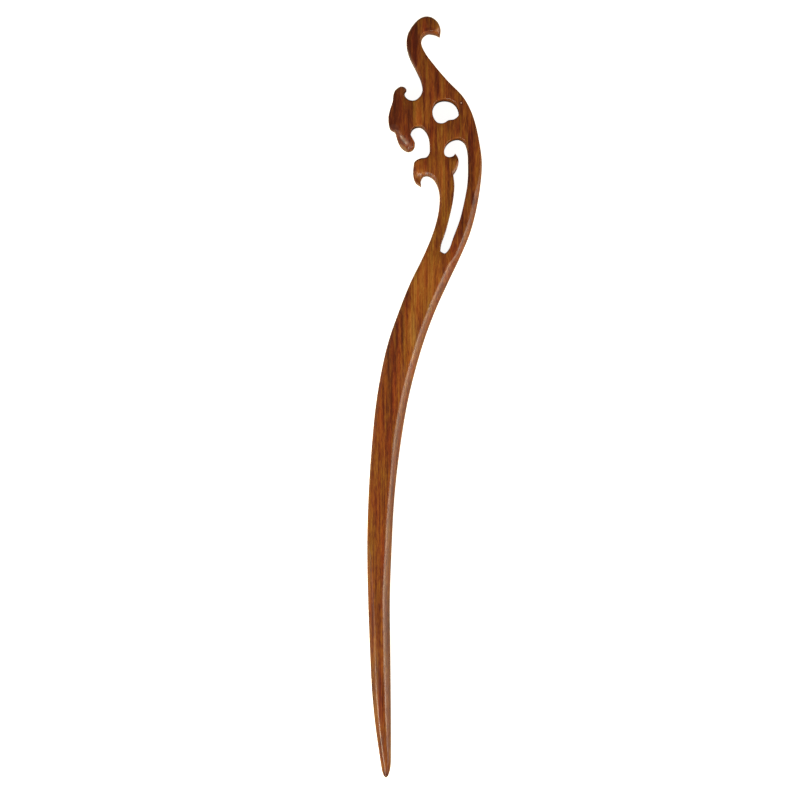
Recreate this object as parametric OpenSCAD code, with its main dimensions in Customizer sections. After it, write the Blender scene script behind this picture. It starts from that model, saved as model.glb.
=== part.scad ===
// A carved wooden hair stick: a long S-curved shaft that ends in a pierced, hooked crest.
// It is one piece of wood. The outline is sawn from a flat board, two windows are pierced
// through the head, and every edge is then rounded over.
// The stick lies on its flat back. Z runs through the board, and Y from the point to the crest.

/* [Stick] */
// Length from the point to the top of the crest
stick_length = 180; // [150:5:210]
// Thickness of the board that the stick is sawn from
board_thickness = 5; // [4:0.25:6]
// Thickness that is left at the very point
point_thickness = 1.6; // [1:0.1:2.4]
// Length of the thinned stretch at the point, on a stick 180 long
taper_length = 44; // [30:1:60]

/* [Rounding] */
// How far the rounded edges of the shaft reach into the wood
shaft_round = 1.9; // [1.2:0.1:2.2]
// The same on the crest, the lobe and the back of the head
head_round = 1.0; // [0.6:0.1:1.2]
// The same on the knob and the claw, which are carved fuller
knob_round = 1.5; // [1:0.1:1.8]
// The same in the hollows between them
hollow_round = 0.6; // [0.4:0.1:0.9]
// The same round the two windows
window_round = 0.5; // [0.3:0.1:0.7]

/* [Facets] */
// Facets in each rounded edge, from the rim to the flat face
edge_facets = 3; // [2:1:4]
// Facets from one drawn point to the next along an outline
steps = 3; // [2:1:4]

/* [Hidden] */

// The most that a rounded edge takes of the room inside the outline, so that some face is left
max_share = 0.82;
// How far the window cutters stand out of the board
overshoot = 1;

// The drawing is 180 long. Its Y starts at the point and its X near the point's centre line,
// and the wood is always on the left of a stretch.

// The shaft, from the point up to the fork
shaft = [
    // y, left edge, right edge
    [  0.4, -0.75,  0.25],
    [  1.4, -1.15,  0.65],
    [  3.0, -1.45,   0.9],
    [  6.0,  -1.9,  0.95],
    [ 12.0, -2.75,  0.95],
    [ 20.0, -3.55,   0.9],
    [ 30.0, -4.05,   0.8],
    [ 42.0,  -4.5,   0.7],
    [ 54.0,  -4.7,   1.1],
    [ 66.0,  -4.4,  1.75],
    [ 78.0, -3.65,   3.1],
    [ 90.0,  -2.4,  5.15],
    [102.0,   0.0,  8.35],
    [110.0,   2.7, 11.25],
    [117.0,   5.5,  14.4],
    [123.0,  8.45, 17.25],
];
point = [-0.25, 0];

// The head. Columns of each stretch: x, y.
// Up the outside of the back, from the shaft to the throat of the crest
back = [
    [19.7, 128.9], [21.2, 134.6], [22.1, 140.2], [22.4, 145.5], [21.8, 150.1],
    [20.8, 154.7], [19.5, 158.2], [17.8, 161.0], [14.4, 164.5], [11.3, 168.1],
];
// Round the hollow under the hook of the crest, to its tip
hollow = [[9.0, 171.2], [8.1, 173.4], [8.4, 174.9], [9.6, 175.9], [11.0, 175.8], [12.5, 175.3]];
// Over the top of the crest and down its front
crest = [
    [12.7, 176.8], [12.1, 178.5], [10.9, 179.6], [9.5, 180.0], [7.9, 179.6], [6.4, 178.3],
    [ 5.2, 176.4], [ 4.6, 174.0], [ 4.9, 171.8], [5.6, 169.9], [6.9, 167.4], [8.0, 165.0],
];
// Round the bay behind the lobe, to the tip of the curl
nape = [
    [8.4, 162.8], [7.9, 161.1], [6.6, 160.0], [5.2, 160.1], [4.3, 160.9], [4.2, 161.9],
    [4.6, 162.6],
];
// Over the curl and down the outside of the lobe
lobe = [
    [4.1, 163.2], [3.2, 163.4], [2.1, 162.7], [1.5, 161.3], [1.3, 159.6], [0.7, 157.8],
    [0.3, 155.6], [0.8, 153.5], [1.8, 152.8],
];
// Round the knob that hangs below the lobe
knob = [
    [2.3, 151.2], [2.9, 149.6], [3.8, 148.5], [5.0, 148.0], [6.1, 148.5], [6.6, 149.7],
    [6.1, 150.9], [5.6, 151.9],
];
// Round the open mouth between the lobe and the claw
mouth = [
    [5.9, 153.2], [6.8, 153.9], [8.1, 153.9], [9.3, 152.8], [9.9, 151.3], [10.1, 149.4],
    [10.0, 147.6], [9.3, 146.6],
];
// Over the claw to its tip
claw = [[7.8, 146.3], [6.5, 145.5], [6.2, 144.1], [6.2, 142.4], [6.8, 140.7], [8.1, 139.8]];
// Under the claw and down the inside of the stem, to the shaft
stem = [
    [8.0, 141.1], [8.6, 142.2], [9.7, 142.4], [10.9, 141.7], [11.8, 140.3], [12.4, 138.0],
    [12.3, 134.8], [11.6, 131.2], [10.3, 127.3],
];

// The round window in the middle of the head
round_window = [
    [13.7, 160.3], [15.5, 159.8], [16.7, 158.4], [16.9, 156.5], [15.8, 155.5], [14.5, 155.3],
    [13.3, 154.6], [11.8, 154.8], [10.8, 156.5], [11.0, 158.7], [12.0, 159.9],
];
// The slot window between the stem and the back: from the tip of its barb round the bulb
slot_bulb = [
    [16.1, 147.5], [15.6, 146.9], [14.6, 146.6], [13.7, 147.0], [13.5, 148.2], [14.0, 149.6],
    [15.2, 150.7], [17.0, 151.1], [18.3, 150.3], [19.0, 148.5],
];
// Down the slot along the back, and round its foot
slot_back = [
    [19.2, 145.0], [19.1, 141.0], [18.4, 136.8], [17.2, 131.9], [15.6, 127.6], [14.6, 124.9],
    [13.6, 123.9],
];
// Up the slot along the stem, to the foot of the barb
slot_stem = [
    [12.6, 124.4], [12.8, 126.0], [13.9, 129.2], [14.9, 133.0], [15.6, 136.4], [15.9, 139.8],
    [15.6, 142.6],
];
// Round the barb, back to its tip
barb = [[16.5, 143.9], [16.9, 145.3], [16.7, 146.6], [16.1, 147.5]];

function last_of(list) = list[len(list) - 1];

// Points of a stretch with the rounding that their edge gets: x, y, rounding
function rounded(stretch, rounding) = [for (p = stretch) [p.x, p.y, rounding]];
function right_edge() = [for (row = shaft) [row[2], row[0], shaft_round]];
function left_edge() = [
    for (i = [len(shaft) - 1:-1:0]) [shaft[i][1], shaft[i][0], shaft_round]
];

// The tangent at b of the smooth curve a, b, c, also where the points are unevenly spaced
function pace(a, b) = sqrt(norm([b.x - a.x, b.y - a.y]));
function tangent(a, b, c) = let (ab = pace(a, b), bc = pace(b, c))
    (b - a) / ab - (c - a) / (ab + bc) + (c - b) / bc;

// The point at share u of the way from b to c on the smooth curve a, b, c, d
function between(a, b, c, d, u) = let (bc = pace(b, c))
    b * (2 * u^3 - 3 * u^2 + 1) + c * (3 * u^2 - 2 * u^3)
    + tangent(a, b, c) * bc * (u^3 - 2 * u^2 + u)
    + tangent(b, c, d) * bc * (u^3 - u^2);

// A curve through the points, without the last one, where the next curve starts
function curve(p) = let (last = len(p) - 1) [
    for (i = [0:last - 1], k = [0:steps - 1]) between(
        i > 0 ? p[i - 1] : 2 * p[0] - p[1],
        p[i],
        p[i + 1],
        i < last - 1 ? p[i + 2] : 2 * p[last] - p[last - 1],
        k / steps
    )
];

// A closed curve through the points
function closed_curve(p) = let (n = len(p)) [
    for (i = [0:n - 1], k = [0:steps - 1])
        between(p[(i + n - 1) % n], p[i], p[(i + 1) % n], p[(i + 2) % n], k / steps)
];

// The whole outline from the point, up the back and down the front. The curve breaks at the
// tips of the hook, the curl and the claw, and at the point.
function outline() = let (
    start = concat(point, shaft_round),
    up_back = concat(
        [start],
        right_edge(),
        rounded(back, head_round),
        rounded(hollow, hollow_round)
    ),
    down_front = concat([last_of(up_back)], rounded(crest, head_round), rounded(nape, hollow_round)),
    round_face = concat(
        [last_of(down_front)],
        rounded(lobe, head_round),
        rounded(knob, knob_round),
        rounded(mouth, hollow_round),
        rounded(claw, knob_round)
    ),
    down_stem = concat([last_of(round_face)], rounded(stem, head_round), left_edge(), [start])
) concat(curve(up_back), curve(down_front), curve(round_face), curve(down_stem));

function round_hole() = closed_curve(rounded(round_window, window_round));
function slot_hole() = concat(
    curve(rounded(concat(slot_bulb, slot_back, [slot_stem[0]]), window_round)),
    curve(rounded(slot_stem, window_round)),
    curve(rounded(concat([last_of(slot_stem)], barb), window_round))
);

// The direction into the wood at each point of a loop
function into_wood(loop) = let (n = len(loop)) [
    for (i = [0:n - 1]) let (
        before = loop[(i + n - 1) % n],
        after = loop[(i + 1) % n],
        along = [after.x - before.x, after.y - before.y]
    ) [-along.y, along.x] / norm(along)
];

// The radius of the largest disc inside the wood that touches the loop at point i
function room(loop, i, side) = min([
    stick_length,
    for (p = loop) let (
        apart = [p.x - loop[i].x, p.y - loop[i].y],
        depth = apart * side
    ) if (depth > 0.001) (apart * apart) / (2 * depth)
]);

// How far the rounded edge reaches into the wood at each point
function reaches(loop, sides) = [
    for (i = [0:len(loop) - 1]) min(loop[i][2], max_share * room(loop, i, sides[i]))
];

// The board's thickness at height y of the drawing, as a share of the whole
function thinned(y) = y > taper_length ? 1 :
    1 - (1 - point_thickness / board_thickness) * (1 - y / taper_length)^2;

// A closed solid from a stack of rings, the lowest first, each counterclockwise. The first points
// of a ring face its last ones across the shaft. That many pairs are joined by strips, which may
// slope, and the rest of each end is one flat face.
module stacked(rings, pairs = 0) {
    n = len(rings[0]);
    top = (len(rings) - 1) * n;
    strips = pairs == 0 ? [] : concat(
        [[0, 1, n - 1]],
        [for (k = [1:pairs - 1]) each [[k, k + 1, n - k - 1], [k, n - k - 1, n - k]]]
    );
    floor = concat(strips, [[for (i = [pairs:n - max(pairs, 1)]) i]]);
    roof = [for (face = floor) [for (i = [len(face) - 1:-1:0]) top + face[i]]];
    walls = [
        for (j = [0:len(rings) - 2], i = [0:n - 1])
            let (a = j * n + i, b = j * n + (i + 1) % n) each [[a, a + n, b + n], [a, b + n, b]]
    ];
    polyhedron([for (ring = rings) each ring], concat(floor, walls, roof), convexity = 10);
}

// The sawn board, with its edges rounded from the rim at half height to both faces
module board() {
    loop = outline();
    sides = into_wood(loop);
    reach = reaches(loop, sides);
    rings = [
        for (j = [-edge_facets:edge_facets]) let (turn = 90 * j / edge_facets) [
            for (i = [0:len(loop) - 1]) let (inset = sides[i] * reach[i] * (1 - cos(turn))) [
                loop[i].x + inset.x,
                loop[i].y + inset.y,
                board_thickness / 2 * (1 + thinned(loop[i].y) * sin(turn))
            ]
        ]
    ];
    stacked(rings, pairs = len(shaft) * steps);
}

// What is cut away for one window: a straight wall that flares out at both faces
module window_cutter(loop) {
    sides = into_wood(loop);
    flare = reaches(loop, sides);
    profile = [
        // height, share of the flare
        [-overshoot, 1],
        [0, 1],
        [window_round * 0.3, 0.3],
        [window_round, 0],
        [board_thickness - window_round, 0],
        [board_thickness - window_round * 0.3, 0.3],
        [board_thickness, 1],
        [board_thickness + overshoot, 1]
    ];
    stacked([
        for (row = profile) [
            for (i = [len(loop) - 1:-1:0]) let (out = sides[i] * flare[i] * row[1])
                [loop[i].x + out.x, loop[i].y + out.y, row[0]]
        ]
    ]);
}

// The middle of the drawing, which becomes the origin
function middle(loop) = [
    (min([for (p = loop) p.x]) + max([for (p = loop) p.x])) / 2,
    (min([for (p = loop) p.y]) + max([for (p = loop) p.y])) / 2
];

module hair_stick() {
    color("saddlebrown")
    resize([0, stick_length, 0], auto = [true, true, false])
    translate([-middle(outline()).x, -middle(outline()).y, 0])
    difference() {
        board();
        window_cutter(round_hole());
        window_cutter(slot_hole());
    }
}

hair_stick();
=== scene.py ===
import math

import bmesh
import bpy
import numpy as np
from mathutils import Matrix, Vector


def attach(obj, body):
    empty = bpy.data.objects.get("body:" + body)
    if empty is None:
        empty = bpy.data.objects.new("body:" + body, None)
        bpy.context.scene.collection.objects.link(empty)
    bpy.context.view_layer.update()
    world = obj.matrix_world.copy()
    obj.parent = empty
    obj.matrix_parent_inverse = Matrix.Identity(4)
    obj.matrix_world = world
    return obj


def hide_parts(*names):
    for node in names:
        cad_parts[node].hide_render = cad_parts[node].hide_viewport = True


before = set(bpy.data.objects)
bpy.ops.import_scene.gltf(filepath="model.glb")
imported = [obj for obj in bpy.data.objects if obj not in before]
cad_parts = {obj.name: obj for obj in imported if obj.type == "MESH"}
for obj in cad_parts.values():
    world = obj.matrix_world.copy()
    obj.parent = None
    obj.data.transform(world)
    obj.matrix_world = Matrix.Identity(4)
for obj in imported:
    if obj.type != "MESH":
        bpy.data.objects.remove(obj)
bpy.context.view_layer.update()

scene = bpy.context.scene
mm = 0.001
mergeWithin = 0.001 * mm  # points that lie closer than this are one


# One output socket. Python's operators on it add Math nodes.
class Wire:
    def __init__(self, graph, socket):
        self.graph = graph
        self.socket = socket

    def at(self, name):  # another output of the same node
        outputs = self.socket.node.outputs
        return Wire(self.graph, next(out for out in outputs if out.name == name and out.enabled))

    def __add__(self, other):
        return self.graph.maths("ADD", self, other)

    def __sub__(self, other):
        return self.graph.maths("SUBTRACT", self, other)

    def __rsub__(self, other):
        return self.graph.maths("SUBTRACT", other, self)

    def __mul__(self, other):
        return self.graph.maths("MULTIPLY", self, other)

    def __truediv__(self, other):
        return self.graph.maths("DIVIDE", self, other)

    def __rtruediv__(self, other):
        return self.graph.maths("DIVIDE", other, self)

    def __pow__(self, other):
        return self.graph.maths("POWER", self, other)

    def __rpow__(self, other):
        return self.graph.maths("POWER", other, self)

    __radd__ = __add__
    __rmul__ = __mul__


# A node tree that is being built, for a material or for Geometry Nodes
class Graph:
    def __init__(self, tree):
        self.tree = tree
        tree.nodes.clear()

    # the node's type, its settings, which are set first, and its sockets' values or links
    def add(self, kind, settings=None, values=None):
        node = self.tree.nodes.new(kind)
        for name, value in (settings or {}).items():
            if name == "stops":
                self.setStops(node.color_ramp, value)
            else:
                setattr(node, name, value)
        for name, value in (values or {}).items():
            socket = self.entry(node, name)
            for source in value if isinstance(value, list) else [value]:
                if isinstance(source, Wire):
                    self.tree.links.new(source.socket, socket)
                else:
                    socket.default_value = source
        first = next((out for out in node.outputs if out.enabled), None)
        return Wire(self, first) if first else node

    def entry(self, node, name):
        if isinstance(name, int):
            return node.inputs[name]
        return next(put for put in node.inputs if put.name == name and put.enabled)

    def setStops(self, ramp, stops):
        while len(ramp.elements) < len(stops):
            ramp.elements.new(1)
        for element, (place, color) in zip(ramp.elements, stops):
            element.position = place
            element.color = (*color, 1)

    def maths(self, operation, *values):
        return self.add("ShaderNodeMath", {"operation": operation}, dict(enumerate(values)))

    def vectors(self, operation, *values):
        kind = {"operation": operation}
        return self.add("ShaderNodeVectorMath", kind, dict(enumerate(values)))

    def scaled(self, vector, factor):
        return self.add("ShaderNodeVectorMath", {"operation": "SCALE"}, {0: vector, "Scale": factor})

    def joined(self, x, y, z):
        return self.add("ShaderNodeCombineXYZ", None, {"X": x, "Y": y, "Z": z})

    # 1 within the inner distance, 0 beyond the outer one, smooth between
    def fade(self, distance, inner, outer):
        ease = {"interpolation_type": "SMOOTHSTEP"}
        ends = {"From Min": inner, "From Max": outer, "To Min": 1.0, "To Max": 0.0}
        return self.add("ShaderNodeMapRange", ease, {"Value": distance, **ends})

    def mixed(self, share, color, other):
        values = {"Factor": share, "A": color, "B": other}
        return self.add("ShaderNodeMix", {"data_type": "RGBA"}, values)


# The outline: the rings where the CAD solid's walls cross the middle of the board

outlineSettings = {
    "spacing": 0.3 * mm,  # between the points along an edge
    "cornerTurn": 38.0,  # degrees in one point that make it a corner: the hook, the curl, the claw
    "mostRoom": 50.0 * mm,  # where no wood lies opposite
}


def ringsAtHeight(node, height):
    cut = bmesh.new()
    cut.from_mesh(node.data)
    bmesh.ops.remove_doubles(cut, verts=cut.verts, dist=mergeWithin)
    everything = cut.verts[:] + cut.edges[:] + cut.faces[:]
    bmesh.ops.bisect_plane(
        cut, geom=everything, dist=mergeWithin / 2, plane_co=(0, 0, height), plane_no=(0, 0, 1),
        clear_inner=True, clear_outer=True,
    )
    bmesh.ops.remove_doubles(cut, verts=cut.verts, dist=mergeWithin)
    rings = []
    unused = set(cut.verts)
    while unused:
        vert = min(unused, key=lambda v: (v.co.y, v.co.x))
        ring = []
        while vert:
            ring.append((vert.co.x, vert.co.y))
            unused.discard(vert)
            others = [edge.other_vert(vert) for edge in vert.link_edges]
            vert = next((v for v in others if v in unused), None)
        rings.append(np.array(ring))
    cut.free()
    return rings


def areaInside(ring):
    x, y = ring.T
    return 0.5 * float(np.sum(x * np.roll(y, -1) - np.roll(x, -1) * y))


def lengths(vectors):
    return np.linalg.norm(vectors, axis=1)[:, None]


# A ring with evenly spaced points on a smooth curve, which breaks at the corners
def smoothRing(ring, spacing, cornerTurn):
    ahead = np.roll(ring, -1, axis=0) - ring
    size = lengths(ahead)
    along = ahead / size
    before = np.roll(along, 1, axis=0)
    sizeBefore = np.roll(size, 1, axis=0)
    mean = before * size + along * sizeBefore
    mean /= lengths(mean)
    corner = np.sum(before * along, axis=1)[:, None] < math.cos(math.radians(cornerTurn))
    leaving = np.where(corner, along, mean) * size
    arriving = np.roll(np.where(corner, before, mean), -1, axis=0) * size
    points = []
    for i in range(len(ring)):
        count = math.ceil(float(size[i, 0]) / spacing)
        after = ring[(i + 1) % len(ring)]
        for t in np.arange(count) / count:
            points.append(
                ring[i] * (2 * t**3 - 3 * t**2 + 1) + after * (3 * t**2 - 2 * t**3)
                + leaving[i] * (t**3 - 2 * t**2 + t) + arriving[i] * (t**3 - t**2)
            )
    return np.array(points)


# The direction into the wood, which lies on the left of each ring
def intoWood(ring):
    chord = np.roll(ring, -1, axis=0) - np.roll(ring, 1, axis=0)
    chord /= lengths(chord)
    return np.stack([-chord[:, 1], chord[:, 0]], axis=1)


# The radius of the largest disc of wood that touches the edge at each point
def roomInside(points, sides, most):
    room = np.empty(len(points))
    for i, point in enumerate(points):
        apart = points - point
        depth = apart @ sides[i]
        inside = depth > mergeWithin
        room[i] = np.min(np.sum(apart[inside] ** 2, axis=1) / (2 * depth[inside]), initial=most)
    return room


def outlineMesh(rings, settings):
    smooth = []
    for k, ring in enumerate(sorted(rings, key=lambda r: -abs(areaInside(r)))):
        turnsRight = areaInside(ring) < 0
        if turnsRight == (k == 0):  # the outer ring runs left, the windows' rings run right
            ring = ring[::-1]
        smooth.append(smoothRing(ring, settings["spacing"], settings["cornerTurn"]))
    points = np.concatenate(smooth)
    sides = np.concatenate([intoWood(ring) for ring in smooth])
    room = roomInside(points, sides, settings["mostRoom"])
    isWindow = np.concatenate([np.full(len(ring), float(k > 0)) for k, ring in enumerate(smooth)])
    edges = []
    for ring in smooth:
        start = len(edges)
        edges += [(start + i, start + (i + 1) % len(ring)) for i in range(len(ring))]
    mesh = bpy.data.meshes.new("outline")
    mesh.from_pydata([(x, y, 0.0) for x, y in points], edges, [])
    mesh.attributes.new("inward", "FLOAT_VECTOR", "POINT").data.foreach_set(
        "vector", np.column_stack([sides, np.zeros(len(sides))]).ravel()
    )
    mesh.attributes.new("room", "FLOAT", "POINT").data.foreach_set("value", room)
    mesh.attributes.new("window", "FLOAT", "POINT").data.foreach_set("value", isWindow)
    print("outline:", len(rings), "rings,", len(points), "points")
    return mesh


# The stick: its cross-section swept along the outline, and the two flat faces

stickSettings = {
    "Thickness": 5.0 * mm,
    "Point Thickness": 1.6 * mm,
    "Taper Start": -90.0 * mm,  # where the point is, along Y
    "Taper End": -46.0 * mm,
    "Full Round": 2.0 * mm,  # how far the rounded edge reaches into the wood, where it is widest
    "Window Round": 0.2 * mm,
    "Slant": 1.5,  # 1 is an ellipse, and 2 is a straight bevel
    "Edge Depth": 0.9,  # of the rounded edge, for each mm of its reach; the rest of the wall is upright
    "Room Share": 0.92,  # the most that the rounding takes of the wood's half width
    "Tip Margin": 0.04 * mm,  # flat wood that is left at a sharp tip
    "Least Reach": 0.01 * mm,
    "Facing Right": -0.5,  # an edge is a right one where the X of the way into the wood is below this
    "Facing Left": 0.1,  # and a left one where it is above this
}
profileSteps = 16  # from the back over the rim to the front
roundingBlur = 4  # how often the rounding is evened out along the outline

# How round the edges are: height along Y in mm, share of the full round on the right, on the left
shoulders = [
    (-86.0, 0.45, 0.48),
    (-80.0, 0.62, 0.55),
    (-74.0, 0.78, 0.61),
    (-62.0, 0.92, 0.69),
    (-54.0, 0.94, 0.80),
    (-46.0, 0.99, 0.70),
    (-39.0, 0.93, 0.55),
    (-33.0, 0.88, 0.16),
    (-22.0, 0.80, 0.18),
    (-8.0, 1.03, 0.34),
    (12.0, 0.97, 0.36),
    (30.0, 1.02, 0.34),
    (42.0, 0.96, 0.28),
    (54.0, 0.30, 0.20),
    (64.0, 0.18, 0.16),
    (84.0, 0.16, 0.16),
]

# Places that the carver worked differently: x and y, the inner and outer radius of the place and
# the rounding, all in mm, the slant and depth of the edge, and the share of wood that is thinned away
carvedSpots = {
    "knobFall": (-6.2, 57.7, 0.0, 4.9, 1.3, 1.05, 0.8, 0.76),
    "knob": (-6.4, 59.2, 2.6, 3.6, 2.2, 1.05, 0.8, 0.0),
    "knobTop": (-6.5, 60.9, 1.6, 2.1, 2.2, 1.05, 0.8, 0.0),
    "lobeFoot": (-7.75, 63.5, 0.9, 1.5, 0.06, 1.0, 0.9, 0.0),
    "mouth": (-0.9, 61.4, 2.4, 3.4, 0.2, 1.2, 0.9, 0.0),
    "clawTip": (-1.75, 50.6, 1.0, 3.1, 0.2, 1.2, 0.9, 0.3),
    "claw": (-3.0, 52.4, 1.2, 2.2, 0.4, 1.2, 1.2, 0.0),
    "archLeft": (0.5, 52.9, 0.8, 1.4, 0.7, 2.0, 0.52, 0.0),
    "arch": (2.1, 52.2, 0.9, 1.7, 0.6, 2.0, 0.46, 0.0),
    "crestTop": (0.6, 89.0, 4.2, 6.0, 0.55, 1.0, 4.5, 0.0),
    "crestTip": (4.0, 85.0, 0.0, 2.6, 0.6, 1.1, 0.9, 0.45),
    "curlTop": (-5.4, 73.4, 1.2, 2.6, 0.5, 1.0, 4.5, 0.0),
    "curlTip": (-4.4, 72.8, 0.0, 1.6, 0.5, 1.1, 1.5, 0.2),
    "barbTip": (7.3, 57.4, 0.0, 2.0, 0.5, 1.1, 0.9, 0.3),
    "underBarb": (7.6, 54.0, 1.0, 2.2, 0.7, 1.7, 0.5, 0.0),
}


def stickTree(settings, edgeRows, spots, steps):
    tree = bpy.data.node_groups.new("swept stick", "GeometryNodeTree")
    tree.interface.new_socket("Geometry", in_out="INPUT", socket_type="NodeSocketGeometry")
    for name, value in settings.items():
        entry = tree.interface.new_socket(name, in_out="INPUT", socket_type="NodeSocketFloat")
        entry.default_value = value
    tree.interface.new_socket("Profile Points", in_out="INPUT", socket_type="NodeSocketInt")
    tree.interface.new_socket("Wood", in_out="INPUT", socket_type="NodeSocketMaterial")
    tree.interface.new_socket("Geometry", in_out="OUTPUT", socket_type="NodeSocketGeometry")

    graph = Graph(tree)
    given = graph.add("NodeGroupInput")

    def named(name, kind="FLOAT"):
        return graph.add("GeometryNodeInputNamedAttribute", {"data_type": kind}, {"Name": name})

    def keep(geometry, name, value, kind="FLOAT"):
        where = {"data_type": kind, "domain": "POINT"}
        values = {"Geometry": geometry, "Name": name, "Value": value}
        return graph.add("GeometryNodeStoreNamedAttribute", where, values)

    def moved(geometry, place):
        return graph.add("GeometryNodeSetPosition", None, {"Geometry": geometry, "Position": place})

    place = graph.add("GeometryNodeInputPosition")
    split = graph.add("ShaderNodeSeparateXYZ", None, {"Vector": place})
    height = split.at("Y")
    flatPlace = graph.joined(split.at("X"), height, 0.0)

    def nearSpot(x, y, inner, outer):
        distance = graph.vectors("DISTANCE", flatPlace, (x * mm, y * mm, 0.0)).at("Value")
        return graph.fade(distance, inner * mm, outer * mm)

    # the rounding along the outline
    rightShare, leftShare = edgeRows[0][1:]
    for (low, rightLow, leftLow), (high, rightHigh, leftHigh) in zip(edgeRows, edgeRows[1:]):
        above = 1 - graph.fade(height, low * mm, high * mm)
        rightShare = rightShare + above * (rightHigh - rightLow)
        leftShare = leftShare + above * (leftHigh - leftLow)
    inwards = named("inward", "FLOAT_VECTOR")
    sideways = graph.add("ShaderNodeSeparateXYZ", None, {"Vector": inwards}).at("X")
    facesRight = graph.fade(sideways, given.at("Facing Right"), given.at("Facing Left"))
    rounding = given.at("Full Round") * (leftShare + facesRight * (rightShare - leftShare))
    rounding = rounding + named("window") * (given.at("Window Round") - rounding)
    slant = given.at("Slant")
    depth = given.at("Edge Depth")
    for x, y, inner, outer, spotRound, spotSlant, spotDepth, thin in spots.values():
        near = nearSpot(x, y, inner, outer)
        rounding = rounding + near * (spotRound * mm - rounding)
        slant = slant + near * (spotSlant - slant)
        depth = depth + near * (spotDepth - depth)
    reach = graph.maths("MINIMUM", rounding, named("room") * given.at("Room Share"))
    blur = {"Value": reach, "Iterations": roundingBlur}
    even = graph.add("GeometryNodeBlurAttribute", {"data_type": "FLOAT"}, blur)
    most = named("room") * given.at("Room Share") - given.at("Tip Margin")
    reach = graph.maths("MINIMUM", even, graph.maths("MAXIMUM", most, given.at("Least Reach")))

    # half the board's thickness at a place on one of its flat faces
    toPoint = (given.at("Taper End") - height) / (given.at("Taper End") - given.at("Taper Start"))
    toPoint = graph.maths("MAXIMUM", toPoint, 0.0)
    share = 1 - (1 - given.at("Point Thickness") / given.at("Thickness")) * toPoint**2
    for x, y, inner, outer, *_, thin in spots.values():
        if thin:
            share = share * (1 - thin * nearSpot(x, y, inner, outer))
    middle = given.at("Thickness") * 0.5
    half = middle * share

    # the ring of the flat face, which is the outline brought in by the rounding
    rim = graph.add("GeometryNodeMeshToCurve", None, {"Mesh": given})
    rim = keep(rim, "reach", reach)
    rim = keep(rim, "rim", place, "FLOAT_VECTOR")
    rim = keep(rim, "slant", slant)
    rim = keep(rim, "depth", depth)
    brought = graph.scaled(named("inward", "FLOAT_VECTOR"), named("reach"))
    faceRing = moved(rim, graph.vectors("ADD", named("rim", "FLOAT_VECTOR"), brought))

    # the rounded edge, from the back (-90 degrees) over the rim to the front (90 degrees)
    line = graph.add("GeometryNodeCurvePrimitiveLine", {"mode": "POINTS"}, {"End": (0.0, 0.0, mm)})
    count = {"Curve": line, "Count": given.at("Profile Points")}
    line = graph.add("GeometryNodeResampleCurve", {"mode": "COUNT"}, count)
    turn = graph.add("GeometryNodeSplineParameter").at("Factor") * math.pi - math.pi / 2
    line = keep(line, "turn", turn)
    edge = graph.add("GeometryNodeCurveToMesh", None, {"Curve": faceRing, "Profile Curve": line})
    outwards = graph.maths("MAXIMUM", graph.maths("COSINE", named("turn")), 0.0)
    upwards = graph.maths("SINE", named("turn"))
    side = graph.maths("MAXIMUM", graph.maths("MINIMUM", upwards * steps, 1.0), -1.0)
    inset = named("reach") * (1 - outwards ** named("slant"))
    edge = moved(edge, graph.vectors("ADD", named("rim", "FLOAT_VECTOR"), graph.scaled(inwards, inset)))
    fall = graph.maths("MINIMUM", named("reach") * named("depth"), half)
    fall = fall * (1 - graph.maths("ABSOLUTE", upwards) ** named("slant"))
    edge = moved(edge, graph.joined(split.at("X"), height, middle + side * (half - fall)))

    # the two flat faces
    face = graph.add("GeometryNodeFillCurve", {"mode": "TRIANGLES"}, {"Curve": faceRing})
    front = moved(face, graph.joined(split.at("X"), height, middle + half))
    back = moved(face, graph.joined(split.at("X"), height, middle - half))
    whole = graph.add("GeometryNodeJoinGeometry", None, {"Geometry": [edge, front, back]})
    whole = graph.add("GeometryNodeMergeByDistance", None, {"Geometry": whole, "Distance": mergeWithin})
    whole = graph.add("GeometryNodeSetShadeSmooth", None, {"Geometry": whole, "Shade Smooth": True})
    whole = graph.add("GeometryNodeRealizeInstances", None, {"Geometry": whole})
    whole = graph.add("GeometryNodeSetMaterial", None, {"Geometry": whole, "Material": given.at("Wood")})
    graph.add("NodeGroupOutput", None, {"Geometry": whole})
    return tree


def finishedMesh(name, source, tree, inputs):
    maker = bpy.data.objects.new(name, source)
    scene.collection.objects.link(maker)
    modifier = maker.modifiers.new("sweep", "NODES")
    modifier.node_group = tree
    for item in tree.interface.items_tree:
        if item.in_out == "INPUT" and item.name in inputs:
            modifier[item.identifier] = inputs[item.name]
    evaluated = maker.evaluated_get(bpy.context.evaluated_depsgraph_get())
    mesh = bpy.data.meshes.new_from_object(evaluated)
    maker.modifiers.remove(modifier)
    bpy.data.objects.remove(maker)
    tidy = bmesh.new()
    tidy.from_mesh(mesh)
    bmesh.ops.recalc_face_normals(tidy, faces=tidy.faces)
    openEdges = sum(not edge.is_manifold for edge in tidy.edges)
    volume = round(tidy.calc_volume() / mm**3, 1)
    print(name + ":", len(tidy.faces), "faces,", openEdges, "open edges,", volume, "cubic mm")
    tidy.to_mesh(mesh)
    tidy.free()
    for helper in ("reach", "rim", "slant", "depth", "turn", "inward", "room", "window"):
        if helper in mesh.attributes:
            mesh.attributes.remove(mesh.attributes[helper])
    mesh.name = name
    piece = bpy.data.objects.new(name, mesh)
    scene.collection.objects.link(piece)
    return piece


# The wood: streaks along Y, from broad bands down to pores, and the marks of this one board, with painted
# highlights, reflections and shade among them

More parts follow.
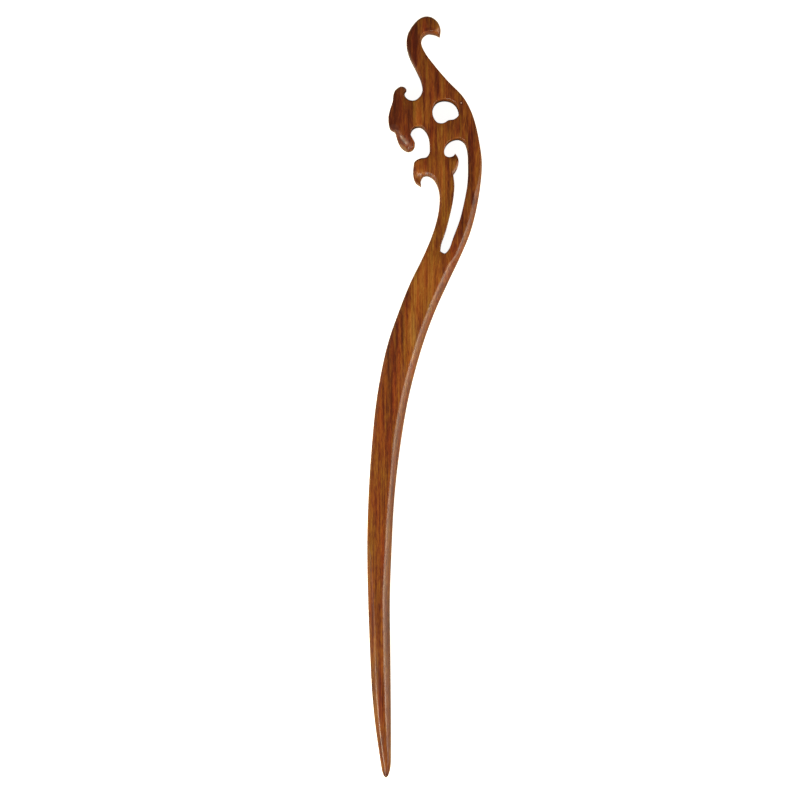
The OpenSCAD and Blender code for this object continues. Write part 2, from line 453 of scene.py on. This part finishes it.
woodSettings = {
    "tone": 0.475,
    "roughness": 0.29,
    "roughnessSpread": 0.2,  # between the pores and the hard wood
    "shine": 0.26,
    "refraction": 1.5,
    "wander": 0.2,  # mm that a streak strays sideways
    "ragged": 0.7,  # how uneven the marks' edges are, in shares of their size
    "redToGold": 0.48,  # how far the hue wanders without growing darker
    "pointGold": 0.06,  # how far it leans to gold in the lower part
    "goldFull": -50.0,  # mm along Y
    "goldStart": -10.0,
    "poreEdge": (0.54, 0.68),  # of the pore pattern: no pore below these, a full one above
    "poreTone": 0.14,
    "poreDepth": 0.015,  # mm
    "fibreHeight": 0.5,  # in pore depths
    "bump": 0.5,
    # the pale colour of the painted sheen and highlights
    "paintedSheenColor": (0.255, 0.163, 0.095, 1.0),
}
# each layer of the grain: mm across, mm along, the place it is cut from, share of the tone
grainLayers = {
    "bands": (2.6, 90.0, 4.0, 0.4),
    "streaks": (0.8, 40.0, 11.0, 0.42),
    "fibres": (0.33, 14.0, 18.0, 0.64),
    "flecks": (0.27, 1.5, 25.0, 0.5),
}
# the other patterns: mm across, mm along, the place it is cut from
finePatterns = {
    "stray": (5.0, 28.0, 1.3),
    "ragged": (0.3, 4.0, 31.0),
    "pores": (0.25, 2.2, 47.0),
    "relief": (0.4, 6.0, 61.0),
    "hue": (0.9, 13.0, 73.0),
}
noiseWay = (1.0, 1.7, 0.6)  # the line along which all of them are cut from the noise
# darkest to lightest wood
woodStops = [
    (0.1, (0.062, 0.0098, 0.0036)),
    (0.22, (0.085, 0.0148, 0.0047)),
    (0.33, (0.1175, 0.024, 0.0058)),
    (0.43, (0.146, 0.0355, 0.0066)),
    (0.53, (0.175, 0.0495, 0.0074)),
    (0.63, (0.204, 0.064, 0.0094)),
    (0.75, (0.24, 0.0865, 0.014)),
    (0.92, (0.29, 0.117, 0.02)),
]
# dark and light marks, mostly the board's own grain but some painted light and shade: x and y of the
# middle, half the width and half the length in mm, how much of it is even, and what it adds to the tone
toneMarksAndPaintedLight = {
    "lobe": (-6.1, 66.0, 3.7, 26.0, 0.94, -0.21),
    "lobeMiddle": (-6.0, 67.0, 0.75, 6.5, 0.5, -0.10),
    "lobeEdge": (-2.95, 67.0, 0.55, 5.0, 0.4, -0.10),
    # painted reflection: the knob's lower-left rim lightened as if it mirrored the table
    "knobRim": (-6.9, 58.6, 1.95, 1.95, 0.75, 0.20),
    "knobDark": (-5.1, 60.3, 1.1, 1.1, 0.3, -0.14),
    "lobeRed": (-7.6, 67.5, 0.6, 3.5, 0.3, 0.08),
    "crestLimb": (-2.9, 84.0, 1.45, 9.0, 0.7, -0.22),
    "curl": (-5.6, 72.3, 1.2, 1.6, 0.4, 0.05),
    "crestInner": (-1.9, 82.5, 0.9, 7.0, 0.4, -0.18),
    "crestLine": (-0.8, 85.5, 0.4, 5.0, 0.4, 0.06),
    "crestDark": (1.0, 88.0, 0.8, 2.4, 0.4, -0.16),
    # painted shade under the crest's hook
    "crestFoot": (1.3, 86.5, 1.5, 0.8, 0.5, -0.14),
    "crestGold": (3.2, 87.8, 0.5, 1.6, 0.4, 0.06),
    "neckGold": (0.9, 75.5, 1.0, 6.5, 0.5, 0.11),
    "mouthGold": (-1.3, 67.0, 1.3, 4.6, 0.75, 0.23),
    "roundGold": (0.7, 67.0, 1.2, 4.6, 0.5, 0.18),
    "windowDark": (2.9, 74.0, 0.75, 4.2, 0.45, -0.23),
    "windowGold": (4.2, 72.8, 0.4, 2.2, 0.4, 0.12),
    "shoulderDark": (6.0, 72.2, 0.6, 2.2, 0.4, -0.08),
    "backTop": (10.9, 64.5, 1.3, 6.0, 0.4, -0.12),
    "backDark": (10.9, 56.0, 0.85, 9.5, 0.6, -0.27),
    "backKnot": (11.3, 46.8, 0.75, 2.6, 0.4, -0.34),
    "backGold": (12.5, 54.0, 0.5, 6.0, 0.4, 0.10),
    "backInner": (8.5, 68.3, 0.45, 2.6, 0.4, -0.24),
    "backLight": (9.4, 65.5, 0.5, 3.0, 0.4, 0.12),
    "barGold": (3.6, 61.5, 0.75, 4.4, 0.4, 0.13),
    "barRed": (6.1, 63.2, 0.5, 2.2, 0.3, 0.06),
    "barDark": (8.0, 63.5, 0.6, 2.4, 0.3, -0.20),
    "barRoot": (2.0, 64.0, 0.4, 2.4, 0.3, -0.16),
    "columnDark": (2.6, 59.5, 0.45, 4.6, 0.35, -0.18),
    "clawGold": (-0.3, 55.2, 2.6, 3.4, 0.5, 0.12),
    "clawDark": (-1.5, 50.8, 1.4, 1.2, 0.4, -0.06),
    # painted shade on the claw's left side
    "clawLeft": (-2.6, 53.4, 0.8, 1.6, 0.5, -0.20),
    # painted highlight: the light blob on the claw
    "clawLight": (-0.8, 53.0, 0.95, 1.1, 0.4, 0.17),
    "barbDark": (5.4, 55.0, 0.5, 2.2, 0.3, -0.12),
    "barbGold": (6.6, 54.8, 0.8, 2.4, 0.4, 0.14),
    "stemGold": (4.3, 46.5, 0.7, 12.0, 0.5, 0.18),
    "stemDark": (5.6, 49.5, 0.6, 6.5, 0.4, -0.11),
    # painted highlight: a thin light line along the stem's right edge
    "stemEdge": (6.4, 50.3, 0.25, 3.4, 0.4, 0.24),
    "stemRoot": (1.9, 39.0, 1.0, 5.0, 0.4, 0.15),
    "forkDark": (8.8, 40.5, 0.55, 5.5, 0.4, -0.22),
    "forkGold": (7.3, 35.5, 0.6, 4.0, 0.4, 0.10),
    "rootDark": (2.6, 36.5, 0.5, 2.6, 0.3, -0.14),
    "upperWarm": (-0.4, 28.0, 3.8, 13.0, 0.5, 0.22),
    "upperGold": (-0.6, 27.0, 1.2, 7.0, 0.4, 0.04),
    "upperLine": (-2.1, 25.0, 0.6, 7.0, 0.4, 0.14),
    "upperDark": (-4.1, 23.5, 0.55, 4.6, 0.4, -0.17),
    "shaftWarm": (-3.6, 13.0, 3.0, 12.0, 0.4, 0.10),
    "shaftGold": (-2.8, 15.5, 1.0, 6.5, 0.4, 0.26),
    "shaftRed": (-0.9, 21.0, 0.4, 5.5, 0.3, -0.08),
    "twinDark": (-5.3, 15.2, 0.5, 5.0, 0.4, -0.20),
    "outerTwin": (-6.6, 14.5, 0.45, 5.5, 0.4, -0.18),
    "bendDark": (-7.1, 8.3, 0.6, 5.0, 0.4, -0.20),
    "bendLine": (-7.7, -2.0, 0.5, 9.0, 0.4, -0.18),
    "bendGold": (-7.0, -1.0, 0.3, 5.0, 0.3, 0.12),
    "leftLine": (-9.8, -2.5, 0.35, 8.0, 0.4, -0.22),
    "leftGold": (-9.0, 3.5, 0.45, 4.5, 0.3, 0.10),
    "middleLine": (-10.6, -7.0, 0.4, 7.0, 0.3, 0.08),
    "lowerDark": (-8.7, -12.0, 0.7, 9.0, 0.35, -0.18),
    "edgeDark": (-12.5, -23.0, 0.5, 6.0, 0.35, -0.14),
    "slimDark": (-10.0, -25.0, 0.4, 6.0, 0.35, -0.06),
    "slimLine": (-12.1, -52.0, 0.45, 8.0, 0.35, -0.12),
    "slimLeft": (-12.0, -46.0, 1.0, 13.0, 0.5, -0.13),
    "pointDark": (-10.6, -66.0, 0.55, 13.0, 0.4, -0.13),
    "pointRight": (-9.9, -76.0, 0.9, 13.0, 0.5, -0.06),
    "lowerLeft": (-11.6, -27.0, 0.9, 10.0, 0.4, -0.06),
    "lowerRight": (-10.0, -26.0, 0.9, 9.0, 0.5, -0.06),
    # painted shade: pointRim, rightRim and slimRim darken the rounded edges between the highlight line
    # and the rim
    "pointRim": (-11.95, -70.0, 0.55, 8.0, 0.4, -0.14),
    "rightRim": (-7.65, -24.0, 0.8, 12.0, 0.5, -0.12),
    "slimRim": (-8.85, -54.0, 0.75, 13.0, 0.5, -0.12),
    "wholeShaft": (-6.0, -30.0, 30.0, 72.0, 0.88, -0.045),
    "pointEnd": (-9.2, -89.6, 1.4, 1.6, 0.3, -0.16),
}
# duller and glossier places: the last number is added to the roughness
polishMarks = {
    "clawSide": (-2.55, 52.5, 1.0, 1.6, 0.6, 0.5),
    "clawInside": (-0.4, 52.0, 0.45, 1.0, 0.4, 0.12),
    "clawShine": (-1.3, 52.6, 0.8, 0.8, 0.3, -0.05),
    "lobeFoot": (-7.2, 63.6, 1.4, 0.9, 0.5, 0.4),
    "knobRoot": (-6.0, 62.4, 1.1, 1.1, 0.4, 0.25),
    "knobShine": (-5.0, 60.3, 1.5, 1.5, 0.6, 0.06),
    "bendShine": (-3.2, 8.5, 1.8, 7.0, 0.3, -0.08),
    "pointShine": (-9.3, -71.0, 0.8, 8.0, 0.4, -0.05),
}
# places painted pale as sheen and highlights, standing in for the lamps' and the table's reflections: the
# last number is the share of the pale colour
paintedSheenMarks = {
    # painted reflection: the knob's lower-left rim, pale as if it mirrored the table
    "knobEdge": (-6.5, 57.2, 2.9, 2.9, 0.85, 0.42),
    # painted highlight: knobHigh, knobMiddle and knobLow make the bright streak along the knob's ridge
    "knobHigh": (-5.2, 61.3, 0.55, 0.65, 0.1, 0.28),
    "knobMiddle": (-4.65, 60.75, 0.5, 0.5, 0.1, 0.28),
    "knobLow": (-4.1, 60.2, 0.5, 0.5, 0.1, 0.28),
    "curl": (-5.6, 72.3, 1.3, 1.8, 0.4, 0.05),
    "shaftGold": (-2.4, 14.0, 1.6, 8.0, 0.4, 0.05),
    "bendLight": (-4.9, 4.0, 1.1, 5.0, 0.4, 0.07),
    "pointLeft": (-11.3, -69.0, 0.9, 15.0, 0.5, 0.06),
}
# a pale chip beside the round window, in mm
chipSettings = {
    "place": (8.64, 69.3, 0.0),
    "heart": 0.12,  # radius that is wholly pale
    "radius": 0.24,
    "color": (0.4, 0.24, 0.19, 1.0),
    "bruise": 0.55,  # radius of the dark wood round it
    "bruiseTone": 0.3,
    "depth": 5.0,  # in pore depths
}


def woodMaterial(settings, layers, fine, stops, marks, polish, paintedSheen, chip):
    material = bpy.data.materials.new("streaked wood")
    material.use_nodes = True
    graph = Graph(material.node_tree)
    straight = graph.scaled(graph.add("ShaderNodeTexCoord").at("Object"), 1 / mm)

    # runs from 0 to 1, and is 0.5 in the mean
    def noise(place, across, along, start):
        sizes = (1 / across, 1 / along, 1 / across)
        stretched = graph.add(
            "ShaderNodeVectorMath", {"operation": "MULTIPLY_ADD"},
            {0: place, 1: sizes, 2: tuple(start * way for way in noiseWay)},
        )
        return graph.add(
            "ShaderNodeTexNoise", {"noise_dimensions": "3D"},
            {"Vector": stretched, "Scale": 1.0, "Detail": 1.0, "Roughness": 0.5},
        )

    stray = (noise(straight, *fine["stray"]) - 0.5) * settings["wander"]
    place = graph.vectors("ADD", straight, graph.joined(stray, 0.0, 0.0))

    tone = settings["tone"]
    for across, along, start, share in layers.values():
        tone = tone + share * (noise(place, across, along, start) - 0.5)
    ragged = (noise(place, *fine["ragged"]) - 0.5) * settings["ragged"]
    flat = graph.vectors("MULTIPLY", place, (1.0, 1.0, 0.0))

    # each mark adds its change in its middle, and fades out at its rim
    def marked(start, marks, edge):
        for x, y, wide, long, even, change in marks.values():
            inMark = graph.add(
                "ShaderNodeVectorMath", {"operation": "MULTIPLY_ADD"},
                {0: flat, 1: (1 / wide, 1 / long, 0.0), 2: (-x / wide, -y / long, 0.0)},
            )
            distance = graph.vectors("LENGTH", inMark).at("Value") + edge
            start = start + graph.fade(distance, even, 1.0) * change
        return start

    tone = marked(tone, marks, ragged)

    # short dark pores
    fleck = noise(place, *fine["pores"])
    pores = 1 - graph.fade(fleck, *settings["poreEdge"])
    tone = tone - pores * settings["poreTone"]

    toChip = graph.vectors("DISTANCE", flat, chip["place"]).at("Value")
    tone = tone - graph.fade(toChip, chip["radius"], chip["bruise"]) * chip["bruiseTone"]
    inChip = graph.fade(toChip, chip["heart"], chip["radius"])

    color = graph.add("ShaderNodeValToRGB", {"stops": stops}, {"Fac": tone})
    height = graph.add("ShaderNodeSeparateXYZ", None, {"Vector": straight}).at("Y")
    lean = graph.fade(height, settings["goldFull"], settings["goldStart"]) * settings["pointGold"]
    drift = lean + (noise(place, *fine["hue"]) - 0.5) * settings["redToGold"]
    color = graph.vectors("MULTIPLY", color, graph.joined(1 - drift, 1 + drift, 1.0))
    # painted sheen and highlights: the pale colour is mixed in where reflections fall
    color = graph.mixed(marked(0.0, paintedSheen, 0.0), color, settings["paintedSheenColor"])
    color = graph.mixed(inChip, color, chip["color"])

    roughness = settings["roughness"] + (fleck - 0.5) * settings["roughnessSpread"]
    roughness = marked(roughness, polish, 0.0)
    fibres = noise(place, *fine["relief"]) * settings["fibreHeight"]
    relief = fibres - pores - inChip * chip["depth"]
    bump = graph.add(
        "ShaderNodeBump", None,
        {"Height": relief, "Strength": settings["bump"], "Distance": settings["poreDepth"] * mm},
    )
    shader = graph.add(
        "ShaderNodeBsdfPrincipled", None,
        {
            "Base Color": color, "Roughness": roughness, "IOR": settings["refraction"],
            "Specular IOR Level": settings["shine"], "Normal": bump,
        },
    )
    graph.add("ShaderNodeOutputMaterial", None, {"Surface": shader})
    return material


wood = woodMaterial(
    woodSettings, grainLayers, finePatterns, woodStops, toneMarksAndPaintedLight, polishMarks, paintedSheenMarks, chipSettings
)
print("wood:", len(grainLayers), "layers,", len(toneMarksAndPaintedLight), "marks")
rings = ringsAtHeight(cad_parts["hair_stick"], stickSettings["Thickness"] / 2)
tree = stickTree(stickSettings, shoulders, carvedSpots, profileSteps)
inputs = {**stickSettings, "Profile Points": profileSteps + 1, "Wood": wood}
stick = finishedMesh("hair_stick_carved", outlineMesh(rings, outlineSettings), tree, inputs)
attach(stick, "root")
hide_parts("hair_stick")
print("stick done")


# The table, the lights and the camera

floorSettings = {
    "width": 3.0,
    "color": (0.85, 0.76, 0.6, 1.0),  # warm and pale, as it shines on the stick from below
    "roughness": 0.9,
    "glow": 0.95,  # white that is added for the camera alone, so that the shadows stay faint
}


def makeFloor(settings):
    material = bpy.data.materials.new("white table")
    material.use_nodes = True
    graph = Graph(material.node_tree)
    surface = {"Base Color": settings["color"], "Roughness": settings["roughness"]}
    glow = {"Emission Color": (1.0, 1.0, 1.0, 1.0), "Emission Strength": settings["glow"]}
    lit = graph.add("ShaderNodeBsdfPrincipled", None, surface)
    seen = graph.add("ShaderNodeBsdfPrincipled", None, {**surface, **glow})
    byCamera = graph.add("ShaderNodeLightPath").at("Is Camera Ray")
    shader = graph.add("ShaderNodeMixShader", None, {0: byCamera, 1: lit, 2: seen})
    graph.add("ShaderNodeOutputMaterial", None, {"Surface": shader})
    half = settings["width"] / 2
    corners = [(-half, -half, 0), (half, -half, 0), (half, half, 0), (-half, half, 0)]
    mesh = bpy.data.meshes.new("table")
    mesh.from_pydata(corners, [], [(0, 1, 2, 3)])
    mesh.materials.append(material)
    floor = bpy.data.objects.new("table", mesh)
    scene.collection.objects.link(floor)


# where each soft box stands, what it is turned to, its width and height in metres, its power in watts
lightSettings = {
    "keySoftbox": {
        "place": (0.235, -0.085, 0.165), "aim": (-0.01, -0.03, 0.0), "size": (0.19, 0.075), "power": 0.65,
    },
    "leftFill": {
        "place": (-0.45, -0.02, 0.27), "aim": (0.0, 0.0, 0.0), "size": (0.4, 0.4), "power": 0.5,
    },
    "pointSoftbox": {
        "place": (-0.24, -0.2, 0.25), "aim": (-0.01, -0.03, 0.0), "size": (0.07, 0.07), "power": 1.2,
    },
    "frontSoftbox": {
        "place": (-0.07, -0.32, 0.25), "aim": (0.0, 0.03, 0.0), "size": (0.085, 0.085), "power": 1.15,
    },
    "lowRight": {
        "place": (0.48, -0.04, 0.12), "aim": (0.0, 0.0, 0.0), "size": (0.3, 0.3), "power": 0.9,
    },
}
studioSettings = {
    "lamp": (1.0, 0.93, 0.72),  # the soft boxes' colour
    "walls": (1.0, 0.94, 0.76, 1.0),  # the colour of the light from all round
    "ambient": 0.15,  # and its strength
    "backdrop": (1.0, 1.0, 1.0, 1.0),  # what the camera sees instead
}


def makeLights(lights, studio):
    for name, light in lights.items():
        lamp = bpy.data.lights.new(name, "AREA")
        lamp.shape = "RECTANGLE"
        lamp.size, lamp.size_y = light["size"]
        lamp.energy = light["power"]
        lamp.color = studio["lamp"]
        box = bpy.data.objects.new(name, lamp)
        box.location = light["place"]
        towards = Vector(light["aim"]) - Vector(light["place"])
        box.rotation_euler = towards.to_track_quat("-Z", "Y").to_euler()
        scene.collection.objects.link(box)
    world = bpy.data.worlds.new("studio")
    world.use_nodes = True
    graph = Graph(world.node_tree)
    dim = {"Color": studio["walls"], "Strength": studio["ambient"]}
    walls = graph.add("ShaderNodeBackground", None, dim)
    backdrop = graph.add("ShaderNodeBackground", None, {"Color": studio["backdrop"]})
    byCamera = graph.add("ShaderNodeLightPath").at("Is Camera Ray")
    both = graph.add("ShaderNodeMixShader", None, {0: byCamera, 1: walls, 2: backdrop})
    graph.add("ShaderNodeOutputWorld", None, {"Surface": both})
    scene.world = world


cameraSettings = {
    "x": -5.78 * mm,
    "y": -0.65 * mm,
    "above": 0.5,  # the middle of the board
    "field": 189.35 * mm,  # the width that it sees there
    "sensor": 36.0,
}


def makeCamera(settings):
    lens = bpy.data.cameras.new("camera")
    lens.sensor_width = settings["sensor"]
    lens.lens = lens.sensor_width * settings["above"] / settings["field"]
    camera = bpy.data.objects.new("camera", lens)
    camera.location = (settings["x"], settings["y"], settings["above"] + stickSettings["Thickness"] / 2)
    scene.collection.objects.link(camera)
    scene.camera = camera


makeFloor(floorSettings)
makeLights(lightSettings, studioSettings)
makeCamera(cameraSettings)
scene.view_settings.view_transform = "Standard"
print("table, lights and camera done")
